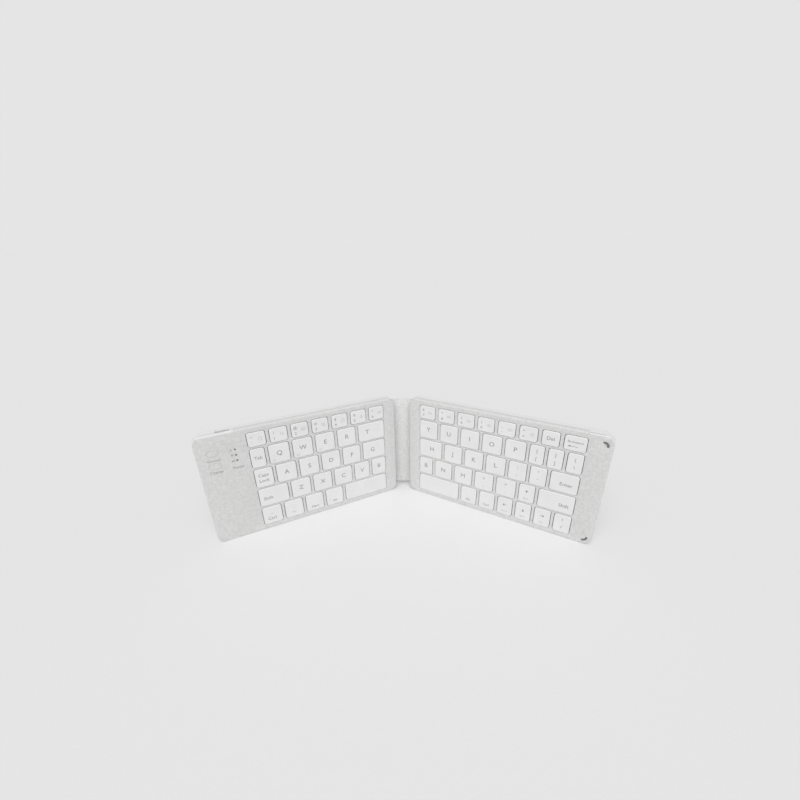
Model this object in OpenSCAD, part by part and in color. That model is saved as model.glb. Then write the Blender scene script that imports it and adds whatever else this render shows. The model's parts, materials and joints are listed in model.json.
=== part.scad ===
// Folding keyboard: two key halves on a flexible spine, standing open on their front edges.
// X runs along the keyboard, +Y points to its back and +Z up. The origin is under the middle.

/* [Halves] */
// Thickness of one half with both of its skins
half_t = 8; // [7.8:0.1:10]
// Radius of the four corners of a half
corner_r = 6; // [3:0.5:8]
// Angle that each half is folded forward from flat
fold_angle = 27; // [0:1:80]

/* [Skins] */
// Thickness of the textured skin on the face
face_skin_t = 0.6; // [0.4:0.1:0.8]
// Thickness of the textured skin on the back
back_skin_t = 0.6; // [0.4:0.1:0.8]
// Thickness of the face skin where it wraps the rear wall
wrap_t = 0.5; // [0.3:0.1:0.7]
// Bare length of rear wall at the outer end of the left half, beside the port
left_bare_end = 26; // [24:1:40]
// Bare length of rear wall at the outer end of the right half
right_bare_end = 15; // [10:1:30]
// Width of the bare rim that the face skin leaves along those ends
bare_rim = 1.3; // [0.8:0.1:1.8]

/* [Case shells] */
// Thickness of the plate that holds the key windows
web_t = 1.4; // [1:0.1:1.6]
// Height of the upper shell under the face skin
frame_h = 3.6; // [3:0.1:4]
// Thickness of the side walls of both shells
wall_t = 1.5; // [1.2:0.1:1.8]
// Thickness of the floor of the lower shell
floor_t = 1; // [0.8:0.1:1.4]
// Height of the lip that locates the upper shell on the lower one
lip_h = 0.8; // [0.4:0.1:1]
// Thickness of the locating lip
lip_t = 0.5; // [0.4:0.1:0.6]
// Thickness of the ribs that carry the key plate
rib_t = 1; // [0.6:0.1:1.6]
// Play between parts that only locate each other
fit_clear = 0.1; // [0.05:0.05:0.2]

/* [Key block] */
// Margin between the inner edge of a half and its keys
inner_margin = 9.8; // [8:0.2:12]
// Margin between the front edge and the front row of keys
front_margin = 4.4; // [3.6:0.2:5]
// Margin between the number row and the rear edge
rear_margin = 4.3; // [3.6:0.1:8]
// Width of the strip over the electronics, from the left block of keys to the outer end
strip_over_bay_w = 33.2; // [30:0.2:45]
// Height of a key in the four lower rows
key_h = 15.3; // [14.8:0.1:15.4]
// Height of a key in the number row
number_h = 11; // [10:0.1:11.2]
// Gap between rows
row_gap = 1.9; // [1.7:0.1:2]
// Gap between the keys of a lower row
key_gap = 2.6; // [2.2:0.1:2.8]
// Gap between the keys of the number row
number_gap = 2.9; // [2.4:0.1:3]

/* [Key widths] */
// Width of a letter key
letter_w = 14.4; // [13.8:0.1:14.6]
// Width of a number key
number_w = 12.1; // [11.6:0.1:12.4]
// Width of the innermost number key on the left half
left_six_w = 12; // [11.5:0.1:13]
// Width of the innermost number key on the right half
right_seven_w = 12.8; // [12:0.1:13.5]
// Width of the two number keys after it
wide_number_w = 12.9; // [12.4:0.1:13.2]
// Width of the B key on the left half
left_b_w = 12; // [11:0.1:13]
// Width of the B key on the right half
right_b_w = 11.4; // [10.5:0.1:13]
// Width of the tab and bracket keys
slim_w = 9.7; // [9.4:0.1:10]
// Width of the arrow and other small keys
small_w = 11.2; // [10.8:0.1:11.4]
// Width of a modifier key on the left half
modifier_w = 13.8; // [13.2:0.1:14.2]
// Width of a modifier key on the right half, also of the two middling keys
middling_w = 12.6; // [12:0.1:13]
// Width of the backspace key
backspace_w = 13.6; // [13:0.1:14]
// Width of the enter key
enter_w = 18.2; // [17.6:0.1:18.6]

/* [Key caps] */
// Height of a key top over the face
key_proud = 0.5; // [0.4:0.1:0.8]
// Overall height of a cap
cap_h = 2.2; // [1.8:0.1:2.4]
// Thickness of the top of a cap
cap_top_t = 1; // [0.7:0.1:1.2]
// Thickness of the skirt of a cap
cap_wall_t = 0.8; // [0.6:0.1:0.9]
// Radius of the corners of a cap
cap_r = 1.6; // [0.8:0.1:2]
// Gap between a cap and its window
window_gap = 0.45; // [0.35:0.05:0.5]

/* [Key switches] */
// Thickness of the steel key plate
plate_t = 0.4; // [0.3:0.1:0.5]
// Thickness of the membrane
membrane_t = 0.3; // [0.2:0.1:0.4]
// Reach of the plate and membrane past the block of keys
plate_overhang = 1.4; // [0.8:0.1:1.6]
// Base radius of a rubber dome
dome_r = 2; // [1.6:0.1:2.05]
// Top radius of a rubber dome
dome_top_r = 1.2; // [0.9:0.1:1.4]
// Wall of a rubber dome
dome_wall = 0.4; // [0.3:0.05:0.5]
// Width of the outer link frame
link_w = 7.4; // [7.3:0.1:7.6]
// Length of a link frame
link_l = 7.6; // [7:0.1:8]
// Width of the bars of a link frame
link_bar = 0.65; // [0.5:0.05:0.7]
// Thickness of a link frame
link_t = 0.5; // [0.4:0.1:0.7]
// Tilt of a link frame with its key up
link_tilt = 25; // [20:1:26]
// Play between the inner and the outer link frame, and round a dome
link_clear = 0.15; // [0.1:0.05:0.2]

/* [Electronics] */
// Space between the battery and the magnets beside it
battery_side = 2; // [1:0.5:4]
// Space between the battery and the front wall
battery_ahead = 5.2; // [1:0.2:20]
// Thickness of the battery
battery_t = 3.4; // [2.4:0.2:3.6]
// Length of the main board, from the rear wall forward
board_l = 23; // [20:0.5:25]
// Thickness of the main board
board_t = 0.8; // [0.6:0.1:1]
// Distance from the outer end to the middle of the charging port
port_end = 19.2; // [17:0.2:22]
// Outer width of the port shell
port_w = 8.9; // [8.7:0.1:9]
// Outer height of the port shell
port_h = 3.2; // [3:0.1:3.2]
// Depth of the port shell
port_l = 7.3; // [6.5:0.1:8]
// Thickness of the port's sheet metal
port_wall = 0.3; // [0.2:0.05:0.4]
// Depth that the port lies behind the surface of the rear wall
port_recess = 0.3; // [0.1:0.1:0.5]
// Thickness of the tongue in the port
tongue_t = 0.7; // [0.5:0.1:0.9]
// Distance from the outer end to the indicator lenses
lens_end = 24.6; // [23:0.2:26]
// Distance of the lowest indicator lens from the front edge of the board
lens_ahead = 2.3; // [1.2:0.1:5]
// Distance between the indicator lenses
lens_pitch = 4.3; // [3:0.1:4.6]
// Radius of an indicator lens
lens_r = 0.6; // [0.5:0.1:1]
// Side of the controller chip
chip_w = 6; // [4:0.5:7]
// Height of the chips and the lamps on the board
chip_h = 1; // [0.6:0.1:1.2]
// Radius of a closing magnet
magnet_r = 2.4; // [1.5:0.1:2.6]
// Thickness of a closing magnet
magnet_t = 2; // [1:0.1:2.1]
// Distance of a magnet from the front or rear edge
magnet_v = 19; // [16:1:30]

/* [Bumpers] */
// Distance from the edges of the face skin to the centre of a bumper's bend
bumper_inset = 6; // [5.6:0.1:8]
// Radius of the curved middle line of a corner bumper
bumper_r = 2.5; // [2:0.1:4]
// Width of a bumper
bumper_w = 1; // [0.8:0.1:1.6]
// Height of a bumper over the face
bumper_proud = 0.5; // [0.3:0.1:0.5]

/* [Spine] */
// Distance that the spine ends short of the edges of the halves
spine_inset = 4; // [2:0.5:8]
// Thickness of the plastic strip in the spine
stiffener_t = 0.5; // [0.4:0.1:0.7]
// Thickness of the skin on the inner face of the spine
spine_skin_t = 0.4; // [0.3:0.1:0.6]
// Width of the flat cable that joins the halves
cable_w = 12; // [8:1:16]
// Thickness of the flat cable
cable_t = 0.2; // [0.1:0.05:0.25]
// Gap between the key tops of the two halves when folded shut
closed_gap = 0.3; // [0.3:0.1:1]
// Running gap between the spine and the halves
fold_gap = 0.25; // [0.2:0.05:0.5]
// Gap between the spine's rounded edge and a half's back skin
crease_gap = 0.15; // [0.1:0.05:0.25]

/* [Hidden] */
$fn = 48;

// Levels through a half, counted from the face skin's surface towards the back
frame_top = face_skin_t;
web_bottom = frame_top + web_t;
parting = frame_top + frame_h;
floor_back = half_t - back_skin_t;
floor_front = floor_back - floor_t;
cap_top = -key_proud;
cap_under = cap_top + cap_top_t;
skirt_end = cap_top + cap_h;
link_drop = (link_l * sin(link_tilt) + link_t * cos(link_tilt)) / 2;
link_mid = skirt_end - cap_h + cap_top_t + fit_clear + link_drop;
membrane_top = link_mid + link_drop + fit_clear;
plate_top = membrane_top + membrane_t;
plate_back = plate_top + plate_t;
dome_top = skirt_end + fit_clear;

// Rows of keys, front row first, each from the inner edge outwards. The number row gives a block
// its width, and the key that stands as 0 in another row fills that row up to it.
left_rows = [
    [0, modifier_w, modifier_w, modifier_w, modifier_w],
    [left_b_w, middling_w, letter_w, letter_w, letter_w, 0],
    [0, letter_w, letter_w, letter_w, letter_w, middling_w],
    [0, letter_w, letter_w, letter_w, letter_w, slim_w],
    [left_six_w, number_w, number_w, number_w, number_w, number_w, number_w]
];
right_rows = [
    [0, middling_w, number_w, small_w, small_w, small_w, small_w],
    [right_b_w, letter_w, letter_w, letter_w, letter_w, small_w, 0],
    [0, letter_w, letter_w, letter_w, middling_w, small_w, enter_w],
    [0, letter_w, letter_w, letter_w, letter_w, slim_w, slim_w, slim_w],
    [right_seven_w, wide_number_w, wide_number_w, number_w, number_w, number_w, small_w, backspace_w]
];
space_row = 0;
bottom_row = 1;
home_row = 2;
top_row = 3;
number_row = 4;

function total(v, n) = n <= 0 ? 0 : v[n - 1] + total(v, n - 1);
function gap_of(row) = row == number_row ? number_gap : key_gap;
function height_of(row) = row == number_row ? number_h : key_h;
function taken(row, widths) = total(widths, len(widths)) + (len(widths) - 1) * gap_of(row);
left_block_w = taken(number_row, left_rows[number_row]);
right_block_w = taken(number_row, right_rows[number_row]);
function filled(row, widths, block) = [for (w = widths) w > 0 ? w : block - taken(row, widths)];
left_keys = [for (row = [0:number_row]) filled(row, left_rows[row], left_block_w)];
right_keys = [for (row = [0:number_row]) filled(row, right_rows[row], right_block_w)];
function key_mid_u(keys, row, i) =
    inner_margin + total(keys[row], i) + i * gap_of(row) + keys[row][i] / 2;
function key_mid_v(row) = front_margin + row * (key_h + row_gap) + height_of(row) / 2;
// A key with room for it has two pairs of links beside its dome, and others have one round it
function link_offset(w) = w / 2 - cap_wall_t - fit_clear - link_w / 2;
function link_places(w) = link_offset(w) - link_w / 2 > dome_r + link_clear
    ? [-link_offset(w), link_offset(w)] : [0];

// Case and electronics bay
block_d = number_row * (key_h + row_gap) + number_h;
half_w = inner_margin + left_block_w + strip_over_bay_w;
half_d = front_margin + block_d + rear_margin;
lip_inner = wall_t + fit_clear + lip_t;
magnet_u = half_w - lip_inner - rib_t - magnet_r;
magnet_places = [magnet_v, half_d - magnet_v];
bay_u = inner_margin + left_block_w + plate_overhang + rib_t;
bay_w = magnet_u - magnet_r - rib_t - bay_u;
port_u = half_w - port_end;
port_mid = web_bottom + fit_clear + port_h / 2;
port_back = half_d - port_recess - port_l;
board_front = port_mid + port_h / 2;
board_back = board_front + board_t;
board_v = half_d - lip_inner - fit_clear - board_l;
battery_v = lip_inner + battery_ahead;
battery_l = board_v - battery_side - battery_v;
battery_front = floor_front - battery_t;
lens_u = half_w - lens_end;
lens_places = [for (i = [0:2]) board_v + lens_ahead + i * lens_pitch];

// Spine and fold: each fold axis runs up the middle of the back skin
axis_depth = half_t - back_skin_t / 2;
axis_spacing = 2 * (axis_depth + key_proud) + closed_gap;
hinge_inset = back_skin_t / 2 + stiffener_t + spine_skin_t + fold_gap;
skin_lap = hinge_inset - back_skin_t / 2 - crease_gap;
axis_y = (sin(fold_angle) * (hinge_inset + half_w) + cos(fold_angle) * axis_depth
    - back_skin_t / 2) / 2;
spine_d = half_d - 2 * spine_inset;
strip_w = axis_spacing - 2 * (back_skin_t + fold_gap);
stiffener_y = axis_y - back_skin_t / 2 - stiffener_t;
cable_v = half_d / 2;
tail_front = floor_front - 2 * cable_t;
tail_turn = inner_margin - plate_overhang - rib_t;

skin_color = [0.83, 0.83, 0.82];
case_color = [0.88, 0.88, 0.87];
key_color = [0.97, 0.97, 0.96];
steel_color = [0.62, 0.63, 0.65];
film_color = [0.72, 0.8, 0.76];
rubber_color = [0.9, 0.9, 0.86];
link_color = [0.95, 0.95, 0.95];
dark_color = [0.15, 0.15, 0.16];

// A half is drawn with X from its inner edge outwards, Y from its face to its back and Z from its
// front edge to its rear edge, and is then turned about its fold axis.
module right_half() {
    translate([axis_spacing / 2, axis_y, 0])
        rotate([0, 0, -fold_angle])
            translate([hinge_inset, -axis_depth, 0])
                children();
}

module left_half() {
    mirror([1, 0, 0]) right_half() children();
}

// Extrudes an outline in X and Z through the levels a to b
module slab(a, b) {
    translate([0, b, 0])
        rotate([90, 0, 0])
            linear_extrude(b - a)
                children();
}

module rounded(w, h, r) {
    translate([r, 0]) square([w - 2 * r, h]);
    translate([0, r]) square([w, h - 2 * r]);
    for (x = [r, w - r], y = [r, h - r])
        translate([x, y]) circle(r);
}

module outline(inset) {
    translate([inset, inset])
        rounded(half_w - 2 * inset, half_d - 2 * inset, max(corner_r - inset, 0.5));
}

module stadium(w, h) {
    square([w - h, h], center = true);
    for (side = [-1, 1])
        translate([side * (w - h) / 2, 0]) circle(h / 2);
}

module key_windows(keys) {
    for (row = [0:number_row], i = [0:len(keys[row]) - 1]) {
        w = keys[row][i] + 2 * window_gap;
        h = height_of(row) + 2 * window_gap;
        translate([key_mid_u(keys, row, i) - w / 2, key_mid_v(row) - h / 2])
            rounded(w, h, cap_r + window_gap);
    }
}

module lens_outline(grow) {
    for (v = lens_places)
        translate([lens_u, v]) circle(lens_r + grow);
}

// One corner bumper: a quarter ring that bends towards the corner on side sv
module bumper_outline(v, sv, grow) {
    translate([half_w - bumper_inset, v]) {
        intersection() {
            difference() {
                circle(bumper_r + bumper_w / 2 + grow);
                circle(bumper_r - bumper_w / 2 - grow);
            }
            mirror([0, sv < 0 ? 1 : 0]) square(bumper_r + bumper_w);
        }
        translate([bumper_r, 0]) circle(bumper_w / 2 + grow);
        translate([0, sv * bumper_r]) circle(bumper_w / 2 + grow);
    }
}

module bumper_outlines(grow) {
    bumper_outline(bumper_inset, -1, grow);
    bumper_outline(half_d - bare_rim - bumper_inset, 1, grow);
}

module port_outline(grow) {
    translate([port_u, port_mid]) stadium(port_w + 2 * grow, port_h + 2 * grow);
}

// Extrudes an outline in X and Y towards the rear, from v = a to v = b
module rearward(a, b) {
    translate([0, 0, a]) linear_extrude(b - a) children();
}

module port_cut() {
    rearward(half_d - lip_inner - 1, half_d + 1) port_outline(fit_clear);
}

module wrap_box(bare_end, from, to) {
    translate([corner_r, from, half_d - wrap_t])
        cube([half_w - bare_end - corner_r, to - from, wrap_t]);
}

module bare_area(bare_end) {
    translate([half_w - bare_end, half_d - bare_rim]) square([bare_end, bare_rim]);
}

// Children of the skin and the frame are the outlines of further holes
module face_skin(keys, bare_end) {
    slab(0, face_skin_t)
        difference() {
            outline(0);
            key_windows(keys);
            bare_area(bare_end);
            children();
        }
    wrap_box(bare_end, face_skin_t, parting);
}

module top_frame(keys, bare_end) {
    difference() {
        union() {
            slab(frame_top, web_bottom)
                difference() {
                    outline(0);
                    key_windows(keys);
                    children();
                }
            slab(web_bottom, parting)
                difference() {
                    outline(0);
                    outline(wall_t);
                }
        }
        wrap_box(bare_end, frame_top - 1, parting + 1);
    }
    slab(0, frame_top)
        intersection() {
            outline(0);
            bare_area(bare_end);
        }
    slab(web_bottom, web_bottom + magnet_t)
        for (v = magnet_places)
            translate([magnet_u, v])
                difference() {
                    circle(magnet_r + rib_t / 2);
                    circle(magnet_r + fit_clear);
                }
}

module magnets() {
    slab(web_bottom, web_bottom + magnet_t)
        for (v = magnet_places)
            translate([magnet_u, v]) circle(magnet_r);
}

// A tray with a locating lip, ribs under the key plate and a slot for the flat cable
module back_cover(block_w) {
    difference() {
        union() {
            slab(floor_front, floor_back) outline(0);
            slab(parting, floor_front)
                difference() {
                    outline(0);
                    outline(lip_inner);
                }
            slab(parting - lip_h, parting)
                difference() {
                    outline(wall_t + fit_clear);
                    outline(lip_inner);
                }
            for (row = [0:number_row + 1]) {
                v = front_margin - row_gap / 2
                    + min(row * (key_h + row_gap), block_d + row_gap);
                translate([inner_margin - plate_overhang, plate_back, v - rib_t / 2])
                    cube([block_w + 2 * plate_overhang, floor_front - plate_back, rib_t]);
            }
        }
        translate([-1, tail_front - cable_t, cable_v - cable_w / 2 - fit_clear])
            cube([lip_inner + 2, 3 * cable_t, cable_w + 2 * fit_clear]);
    }
}

module back_skin() {
    slab(floor_back, half_t) {
        outline(0);
        translate([-skin_lap, spine_inset]) square([skin_lap + corner_r, spine_d]);
    }
}

module plate_outline(block_w) {
    translate([inner_margin - plate_overhang, front_margin - plate_overhang])
        square([block_w + 2 * plate_overhang, block_d + 2 * plate_overhang]);
}

// The membrane ends in a tail that drops to the floor and leaves through the inner wall
module membrane(block_w) {
    slab(membrane_top, plate_top) plate_outline(block_w);
    translate([fit_clear, tail_front, cable_v - cable_w / 2])
        cube([tail_turn - fit_clear, cable_t, cable_w]);
    translate([tail_turn - cable_t, membrane_top, cable_v - cable_w / 2])
        cube([cable_t, tail_front + cable_t - membrane_top, cable_w]);
    translate([tail_turn - cable_t, membrane_top, cable_v - cable_w / 2])
        cube([rib_t + 2 * cable_t, cable_t, cable_w]);
}

module rubber_dome(u, v) {
    rise = membrane_top - dome_top;
    translate([u, membrane_top, v])
        rotate([90, 0, 0])
            rotate_extrude()
                polygon([[0, rise - dome_wall], [dome_top_r - dome_wall, rise - dome_wall],
                    [dome_r - dome_wall, 0], [dome_r, 0], [dome_top_r, rise], [0, rise]]);
}

module rubber_domes(keys) {
    for (row = [0:number_row], i = [0:len(keys[row]) - 1])
        rubber_dome(key_mid_u(keys, row, i), key_mid_v(row));
}

module link_frame(w, tilt) {
    rotate([tilt, 0, 0])
        translate([0, link_t / 2, 0])
            rotate([90, 0, 0])
                linear_extrude(link_t)
                    difference() {
                        square([w, link_l], center = true);
                        square([w - 2 * link_bar, link_l - 2 * link_bar], center = true);
                    }
}

module link_pair() {
    inner_w = link_w - 2 * (link_bar + link_clear);
    link_frame(link_w, link_tilt);
    link_frame(inner_w, -link_tilt);
}

module scissor_links(keys) {
    for (row = [0:number_row], i = [0:len(keys[row]) - 1], du = link_places(keys[row][i]))
        translate([key_mid_u(keys, row, i) + du, link_mid, key_mid_v(row)])
            link_pair();
}

module key_cap(keys, row, i) {
    w = keys[row][i];
    h = height_of(row);
    translate([key_mid_u(keys, row, i), 0, key_mid_v(row)]) {
        slab(cap_top, cap_under)
            translate([-w / 2, -h / 2]) rounded(w, h, cap_r);
        slab(cap_under, skirt_end)
            difference() {
                translate([-w / 2, -h / 2]) rounded(w, h, cap_r);
                translate([cap_wall_t - w / 2, cap_wall_t - h / 2])
                    rounded(w - 2 * cap_wall_t, h - 2 * cap_wall_t, cap_r / 2);
            }
        slab(cap_under, skirt_end) circle(dome_top_r);
    }
}

module left_key(row, i) {
    color(key_color) left_half() key_cap(left_keys, row, i);
}

module right_key(row, i) {
    color(key_color) right_half() key_cap(right_keys, row, i);
}

module left_face_skin() {
    color(skin_color) left_half()
        face_skin(left_keys, left_bare_end) lens_outline(fit_clear);
}

module left_top_frame() {
    color(case_color) left_half()
        difference() {
            top_frame(left_keys, left_bare_end) lens_outline(fit_clear);
            port_cut();
        }
}

module left_back_cover() {
    color(case_color) left_half()
        difference() {
            union() {
                back_cover(left_block_w);
                for (v = [board_v, board_v + board_l - rib_t])
                    translate([bay_u, board_back, v])
                        cube([bay_w, floor_front - board_back, rib_t]);
            }
            port_cut();
        }
}

module left_back_skin() {
    color(skin_color) left_half() back_skin();
}

module left_key_plate() {
    color(steel_color) left_half()
        slab(plate_top, plate_back) plate_outline(left_block_w);
}

// A second tail of the left membrane runs to the connector on the main board
module left_membrane() {
    color(film_color) left_half() {
        membrane(left_block_w);
        translate([bay_u - plate_overhang - rib_t, membrane_top, board_v + rib_t])
            cube([plate_overhang + 2 * rib_t, cable_t, cable_w]);
    }
}

module left_rubber_domes() {
    color(rubber_color) left_half() rubber_domes(left_keys);
}

module left_scissor_links() {
    color(link_color) left_half() scissor_links(left_keys);
}

module left_magnets() {
    color(steel_color) left_half() magnets();
}

// A flat cell on the floor with two tabs that end on the board
module battery() {
    color("silver") left_half() {
        translate([bay_u, battery_front, battery_v])
            cube([bay_w - battery_side, battery_t, battery_l]);
        for (u = [bay_w / 3, bay_w / 2])
            translate([bay_u + u, board_front - cable_t, battery_v + battery_l])
                cube([rib_t, cable_t, battery_side + rib_t]);
    }
}

module main_board() {
    color("seagreen") left_half() {
        slab(board_front, board_back)
            translate([bay_u, board_v]) square([bay_w, board_l]);
        slab(board_front - chip_h, board_front) {
            translate([bay_u + rib_t, board_v + rib_t]) square([2 * rib_t, cable_w]);
            translate([port_u - chip_w / 2, port_back - rib_t - chip_w]) square(chip_w);
            for (v = lens_places)
                translate([lens_u, v]) square(2 * lens_r, center = true);
        }
    }
}

module usb_port() {
    color(steel_color) left_half() {
        rearward(port_back, half_d - port_recess)
            difference() {
                port_outline(0);
                port_outline(-port_wall);
            }
        rearward(port_back, port_back + port_wall) port_outline(0);
        rearward(port_back, half_d - port_recess - port_h / 2)
            translate([port_u, port_mid])
                square([port_w - port_h, tongue_t], center = true);
    }
}

module indicator_lenses() {
    color("white") left_half()
        slab(0, board_front - chip_h) lens_outline(0);
}

module right_face_skin() {
    color(skin_color) right_half()
        face_skin(right_keys, right_bare_end) bumper_outlines(fit_clear);
}

module right_top_frame() {
    color(case_color) right_half()
        top_frame(right_keys, right_bare_end) bumper_outlines(fit_clear);
}

module right_back_cover() {
    color(case_color) right_half() back_cover(right_block_w);
}

module right_back_skin() {
    color(skin_color) right_half() back_skin();
}

module right_key_plate() {
    color(steel_color) right_half()
        slab(plate_top, plate_back) plate_outline(right_block_w);
}

module right_membrane() {
    color(film_color) right_half() membrane(right_block_w);
}

module right_rubber_domes() {
    color(rubber_color) right_half() rubber_domes(right_keys);
}

module right_scissor_links() {
    color(link_color) right_half() scissor_links(right_keys);
}

module right_magnets() {
    color(steel_color) right_half() magnets();
}

module corner_bumpers() {
    color(dark_color) right_half()
        slab(-bumper_proud, web_bottom) bumper_outlines(0);
}

// The outer skin of the spine, with a round edge on each fold axis
module spine_back_skin() {
    color(skin_color) {
        translate([-axis_spacing / 2, axis_y - back_skin_t / 2, spine_inset])
            cube([axis_spacing, back_skin_t, spine_d]);
        for (side = [-1, 1])
            translate([side * axis_spacing / 2, axis_y, spine_inset])
                cylinder(h = spine_d, r = back_skin_t / 2);
    }
}

module spine_stiffener() {
    color(case_color)
        difference() {
            translate([-strip_w / 2, stiffener_y, spine_inset])
                cube([strip_w, stiffener_t, spine_d]);
            translate([-strip_w, stiffener_y - 1, cable_v - cable_w / 2])
                cube([2 * strip_w, 1 + cable_t, cable_w]);
        }
}

module flex_cable() {
    color("darkorange")
        translate([-strip_w / 2, stiffener_y, cable_v - cable_w / 2])
            cube([strip_w, cable_t, cable_w]);
}

module spine_face_skin() {
    color(skin_color)
        translate([-strip_w / 2, stiffener_y - spine_skin_t, spine_inset])
            cube([strip_w, spine_skin_t, spine_d]);
}

module key_q() {
    left_key(top_row, 4);
}

module key_w() {
    left_key(top_row, 3);
}

module key_e() {
    left_key(top_row, 2);
}

module key_r() {
    left_key(top_row, 1);
}

module key_t() {
    left_key(top_row, 0);
}

module key_a() {
    left_key(home_row, 4);
}

module key_s() {
    left_key(home_row, 3);
}

module key_d() {
    left_key(home_row, 2);
}

module key_f() {
    left_key(home_row, 1);
}

module key_g() {
    left_key(home_row, 0);
}

module key_z() {
    left_key(bottom_row, 4);
}

module key_x() {
    left_key(bottom_row, 3);
}

module key_c() {
    left_key(bottom_row, 2);
}

module key_v() {
    left_key(bottom_row, 1);
}

module key_b_left() {
    left_key(bottom_row, 0);
}

module left_space_key() {
    left_key(space_row, 0);
}

module left_number_keys() {
    for (i = [0:6]) left_key(number_row, i);
}

// Tab, caps lock and shift, and the keys beside the space bar
module left_control_keys() {
    for (row = [bottom_row:top_row]) left_key(row, 5);
    for (i = [1:4]) left_key(space_row, i);
}

module key_y() {
    right_key(top_row, 0);
}

module key_u() {
    right_key(top_row, 1);
}

module key_i() {
    right_key(top_row, 2);
}

module key_o() {
    right_key(top_row, 3);
}

module key_p() {
    right_key(top_row, 4);
}

module key_h() {
    right_key(home_row, 0);
}

module key_j() {
    right_key(home_row, 1);
}

module key_k() {
    right_key(home_row, 2);
}

module key_l() {
    right_key(home_row, 3);
}

module key_b_right() {
    right_key(bottom_row, 0);
}

module key_n() {
    right_key(bottom_row, 1);
}

module key_m() {
    right_key(bottom_row, 2);
}

module right_space_key() {
    right_key(space_row, 0);
}

module right_number_keys() {
    for (i = [0:7]) right_key(number_row, i);
}

// Brackets, punctuation, enter, shift, arrows and the keys beside the space bar
module right_control_keys() {
    for (i = [5:7]) right_key(top_row, i);
    for (i = [4:6]) right_key(home_row, i);
    for (i = [3:6]) right_key(bottom_row, i);
    for (i = [1:6]) right_key(space_row, i);
}

left_face_skin();
left_top_frame();
left_back_cover();
left_back_skin();
left_key_plate();
left_membrane();
left_rubber_domes();
left_scissor_links();
left_magnets();
battery();
main_board();
usb_port();
indicator_lenses();
right_face_skin();
right_top_frame();
right_back_cover();
right_back_skin();
right_key_plate();
right_membrane();
right_rubber_domes();
right_scissor_links();
right_magnets();
corner_bumpers();
spine_back_skin();
spine_stiffener();
flex_cable();
spine_face_skin();
key_q();
key_w();
key_e();
key_r();
key_t();
key_a();
key_s();
key_d();
key_f();
key_g();
key_z();
key_x();
key_c();
key_v();
key_b_left();
left_space_key();
left_number_keys();
left_control_keys();
key_y();
key_u();
key_i();
key_o();
key_p();
key_h();
key_j();
key_k();
key_l();
key_b_right();
key_n();
key_m();
right_space_key();
right_number_keys();
right_control_keys();
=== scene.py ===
import json
import math
import bmesh
import bpy
import numpy as np
from mathutils import Matrix, Vector
from mathutils.geometry import delaunay_2d_cdt


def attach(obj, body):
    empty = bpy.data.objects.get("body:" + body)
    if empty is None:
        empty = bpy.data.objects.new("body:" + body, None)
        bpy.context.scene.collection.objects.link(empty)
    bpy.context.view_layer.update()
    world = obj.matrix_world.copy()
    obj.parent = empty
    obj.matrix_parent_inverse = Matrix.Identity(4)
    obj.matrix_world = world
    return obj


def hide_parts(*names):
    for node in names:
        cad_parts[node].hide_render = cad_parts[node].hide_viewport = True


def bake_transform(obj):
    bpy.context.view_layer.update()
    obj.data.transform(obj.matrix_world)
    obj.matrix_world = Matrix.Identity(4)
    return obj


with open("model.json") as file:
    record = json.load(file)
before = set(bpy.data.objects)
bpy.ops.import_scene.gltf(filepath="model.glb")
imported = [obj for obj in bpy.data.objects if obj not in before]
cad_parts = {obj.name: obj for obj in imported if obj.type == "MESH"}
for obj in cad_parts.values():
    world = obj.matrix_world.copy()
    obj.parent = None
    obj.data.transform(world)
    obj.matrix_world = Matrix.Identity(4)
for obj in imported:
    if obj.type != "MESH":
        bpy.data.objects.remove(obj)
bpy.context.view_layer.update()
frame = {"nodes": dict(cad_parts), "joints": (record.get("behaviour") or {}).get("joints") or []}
print("keyboard frame loaded:", len(frame["nodes"]), "nodes")

mm = 0.001  # every size below is in millimetres
half = {"width": 145.0, "depth": 88.5, "corner": 6.0, "foldDegrees": 27.0,
        "axisInset": 1.45, "axisDepth": 7.7, "innerMargin": 9.8, "frontMargin": 4.4}
levels = {"skinBack": 0.6, "webBack": 2.0, "parting": 4.2, "floorFront": 6.4,
          "floorBack": 7.4, "back": 8.0}  # from the face towards the back
sides = {"left": -1, "right": 1}
cornerSteps = 14  # points round each corner of a half

foldJoint = next(j for j in frame["joints"] if j["name"] == "fold_right")
axisX, axisY = (value / mm for value in foldJoint["pos_m"][:2])
cosFold, sinFold = (f(math.radians(half["foldDegrees"])) for f in (math.cos, math.sin))


# shapes

def place(side, points):
    # half coordinates (u outwards, v up, w from face to back, mm) turned about the fold, in m
    u, v, w = np.moveaxis(np.asarray(points, float), -1, 0)
    out, back = u + half["axisInset"], w - half["axisDepth"]
    x = side * (axisX + cosFold * out + sinFold * back)
    y = axisY - sinFold * out + cosFold * back
    return np.stack([x, y, v], -1) * mm


def gridFaces(rows, cols):
    # quads between neighbours on a grid whose rows close round on themselves
    i = np.arange(rows)[:, None]
    k = np.arange(cols - 1)[None, :]
    j = (i + 1) % rows
    quads = [i * cols + k, j * cols + k, j * cols + k + 1, i * cols + k + 1]
    return np.stack(quads, -1).reshape(-1, 4).tolist()


def makePart(points, faces, uv=None, smooth=True, tone=0):
    # the pieces below are joined from such parts; uv is in mm, tone picks the material
    points = np.asarray(points, float).reshape(-1, 3)
    uv = points[:, :2] if uv is None else np.asarray(uv, float).reshape(-1, 2)
    return {"points": points, "faces": faces, "uv": uv, "smooth": smooth, "tone": tone}


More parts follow.
